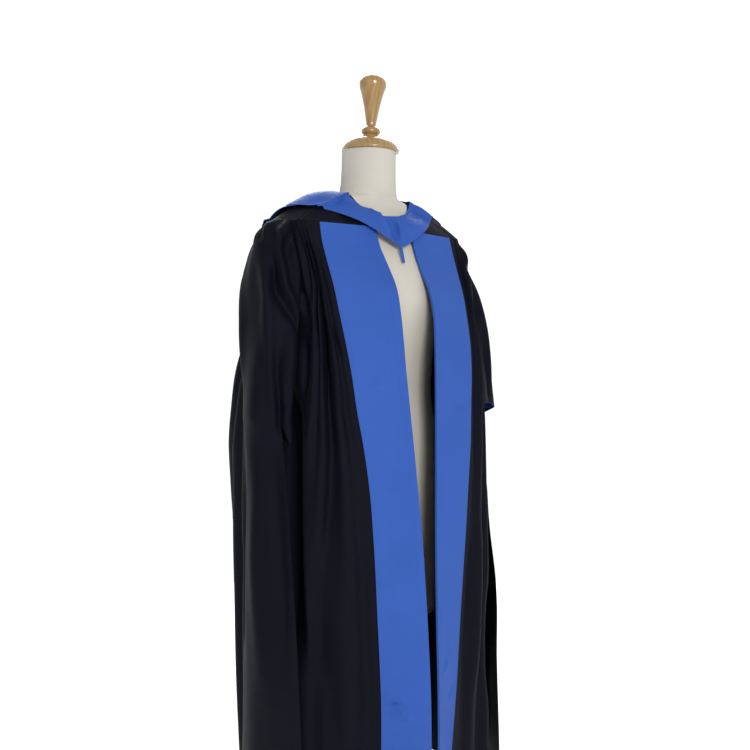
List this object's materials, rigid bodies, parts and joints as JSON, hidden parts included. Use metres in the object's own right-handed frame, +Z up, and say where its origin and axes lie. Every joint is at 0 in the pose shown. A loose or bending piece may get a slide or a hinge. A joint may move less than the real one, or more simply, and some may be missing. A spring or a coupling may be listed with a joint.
{
  "type": "graduation gown on dress form",
  "caption": "Black open-fronted academic gown with wide blue satin facings, gathered open sleeves and a blue-lined hood, hung on a limbless dress form with a round base.",
  "frame": {"origin": "centre of the underside of the form's round base, on the floor", "axes": "+Z up; -Y the way the front of the gown faces; +X towards the wearer's left sleeve"},
  "size_m": [0.6512, 0.4829, 1.7879],
  "materials": {
    "black_cloth": "matt, finely woven",
    "blue_satin": "satin",
    "cream_jersey": "matt jersey cover",
    "lacquered_wood": "clear lacquer",
    "steel": "satin"
  },
  "bodies": {
    "root": {"back": "black_cloth", "yoke": "black_cloth", "front_left": "black_cloth", "front_right": "black_cloth", "sleeve_left": "black_cloth", "sleeve_right": "black_cloth", "hood_shell": "black_cloth", "facing_left": "blue_satin", "facing_right": "blue_satin", "sleeve_lining_left": "blue_satin", "sleeve_lining_right": "blue_satin", "hood_lining": "blue_satin", "hood_neckband": "blue_satin", "hood_loop": "blue_satin", "form_torso": "cream_jersey", "form_neck_cap": "lacquered_wood", "form_finial": "lacquered_wood", "form_base": "lacquered_wood", "form_pole": "steel"}
  },
  "joints": []
}
